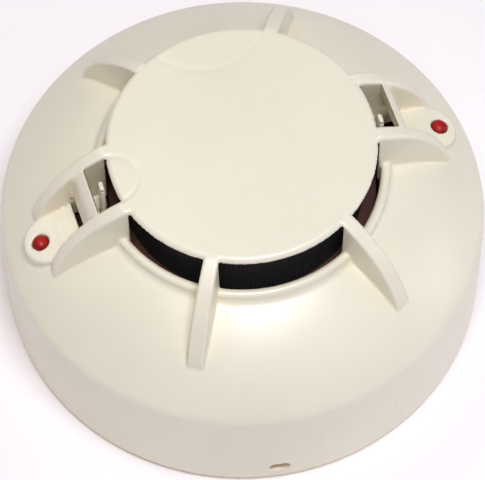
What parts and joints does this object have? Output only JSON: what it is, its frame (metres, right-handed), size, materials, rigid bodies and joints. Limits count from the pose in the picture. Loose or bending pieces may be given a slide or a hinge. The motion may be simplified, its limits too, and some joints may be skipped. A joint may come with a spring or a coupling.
{
  "type": "heat detector",
  "caption": "Round ceiling detector: finned head with a capped air slot, lamp and thermistor arms, and a screened chamber, on a twist-lock wiring base.",
  "frame": {"origin": "centre of the mounting base's back, on the ceiling plane", "axes": "+Z out of the ceiling, through the middle of the cap; the two lamp arms lie along +X and -X; the skirt's index mark is near -Y"},
  "size_m": [0.1, 0.1001, 0.053],
  "materials": {
    "housing": "fine moulded satin",
    "base_moulding": "moulded satin",
    "black_moulding": "matt",
    "brown_moulding": "matt",
    "board": "phenolic paper laminate",
    "chip": "matt epoxy",
    "lamp": "tinted red epoxy lens",
    "sleeve": "satin sleeve",
    "bead": "dipped epoxy",
    "emitter_lens": "smoky blue epoxy",
    "can": "shrink sleeve",
    "brass": "rolled strip",
    "nickel": "nickel-plated strip",
    "steel": "zinc-plated"
  },
  "bodies": {
    "base": {"mounting_base": "base_moulding", "terminal_plate_1": "nickel", "terminal_plate_2": "nickel", "terminal_plate_3": "nickel", "terminal_plate_4": "nickel", "clamp_washer_1": "nickel", "clamp_washer_2": "nickel", "clamp_washer_3": "nickel", "clamp_washer_4": "nickel", "terminal_screw_1": "steel", "terminal_screw_2": "steel", "terminal_screw_3": "steel", "terminal_screw_4": "steel"},
    "lock_finger": {"lock_finger": "base_moulding"},
    "head": {"front_housing": "housing", "rear_cover": "housing", "circuit_board": "board", "controller_chip": "chip", "regulator_chip": "chip", "capacitor_1": "can", "capacitor_2": "can", "chamber_base": "brown_moulding", "insect_screen": "black_moulding", "chamber_cover": "black_moulding", "infrared_emitter": "emitter_lens", "light_receiver": "chip", "indicator_lamp_1": "lamp", "lamp_spacer_1": "black_moulding", "thermistor_1": "bead", "thermistor_sleeve_1": "sleeve", "indicator_lamp_2": "lamp", "lamp_spacer_2": "black_moulding", "thermistor_2": "bead", "thermistor_sleeve_2": "sleeve", "cover_screw_1": "steel", "board_screw_1": "steel", "cover_screw_2": "steel", "board_screw_2": "steel", "cover_screw_3": "steel", "board_screw_3": "steel", "contact_blade_1": "brass", "contact_blade_2": "brass", "contact_blade_3": "brass", "contact_blade_4": "brass"}
  },
  "joints": [
    {"name": "head_twist", "type": "hinge", "parent": "base", "child": "head", "pos_m": [0, 0, 0], "axis": [0, 0, 1], "range_deg": [0, 18]},
    {"name": "lock_release", "type": "hinge", "parent": "base", "child": "lock_finger", "pos_m": [-0.02195, -0.03802, 0.0045], "axis": [0, 0, 1], "range_deg": [0, 5], "stiffness_Nm_per_rad": 0.5}
  ]
}
